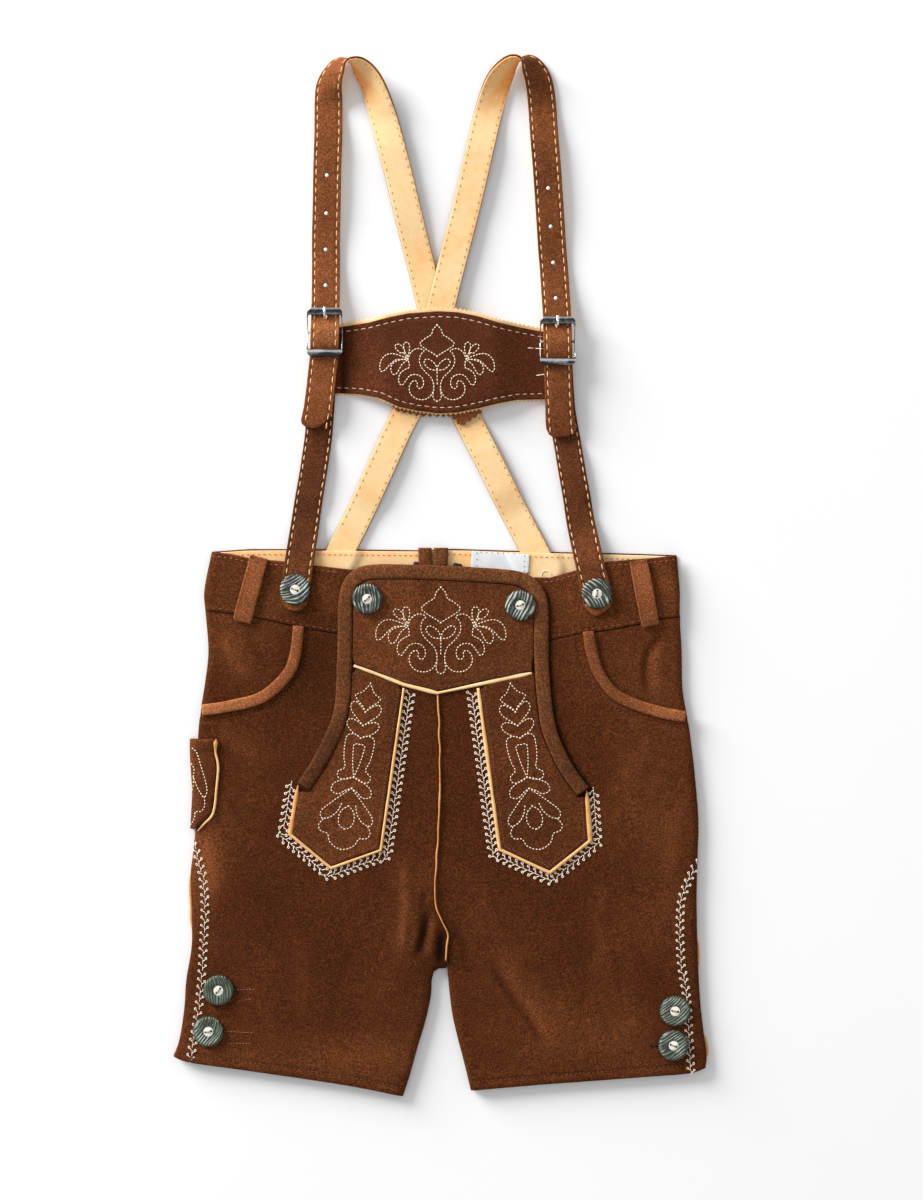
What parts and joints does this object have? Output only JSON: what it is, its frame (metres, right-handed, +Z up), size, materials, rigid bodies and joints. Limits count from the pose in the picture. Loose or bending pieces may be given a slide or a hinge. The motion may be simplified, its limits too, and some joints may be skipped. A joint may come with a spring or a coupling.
{
  "type": "lederhosen with braces",
  "caption": "Short suede leather breeches laid flat, with a buttoned drop-front flap, embroidered strips, buckled braces and a chest bar.",
  "frame": {"origin": "centre of the garment's outline, on the surface that it lies on", "axes": "+Y from the hems to the shoulders, +Z up from the surface, the wearer's right side at -X"},
  "size_m": [0.3648, 0.7091, 0.0193],
  "materials": {
    "suede": "dark brown suede, napped",
    "light_suede": "lighter brown suede, napped",
    "tan_leather": "smooth tan lining leather, matt",
    "label_cloth": "white woven cloth",
    "horn": "grooved dark grey-green horn, satin",
    "dark_chrome": "dark chrome, polished"
  },
  "bodies": {
    "root": {"back_left": "suede", "back_right": "suede", "back_tab_left": "suede", "back_tab_right": "suede", "belt_loop_left": "light_suede", "belt_loop_right": "light_suede", "buckle_left": "dark_chrome", "buckle_prong_left": "dark_chrome", "buckle_prong_right": "dark_chrome", "buckle_right": "dark_chrome", "button_strap_left": "light_suede", "button_strap_right": "light_suede", "centre_piping": "tan_leather", "chest_bar": "suede", "chest_bar_lining": "tan_leather", "chevron_piping": "tan_leather", "crossing_patch": "light_suede", "flap_binding": "light_suede", "flap_button_left": "horn", "flap_button_right": "horn", "flap_strip_left": "suede", "flap_strip_right": "suede", "flap_yoke": "suede", "front_left": "suede", "front_right": "suede", "knife_pocket": "light_suede", "knife_pocket_piping": "tan_leather", "label": "label_cloth", "leg_button_left_lower": "horn", "leg_button_left_upper": "horn", "leg_button_right_lower": "horn", "leg_button_right_upper": "horn", "pocket_bearer_left": "suede", "pocket_bearer_right": "suede", "pocket_binding_left": "light_suede", "pocket_binding_right": "light_suede", "side_piping_left": "tan_leather", "side_piping_right": "tan_leather", "strap_button_left": "horn", "strap_button_right": "horn", "strap_left": "light_suede", "strap_lining_left": "tan_leather", "strap_lining_right": "tan_leather", "strap_right": "light_suede", "strip_piping_left": "tan_leather", "strip_piping_right": "tan_leather", "waistband_back": "suede", "waistband_facing": "tan_leather", "waistband_front_left": "suede", "waistband_front_right": "suede"}
  },
  "joints": []
}
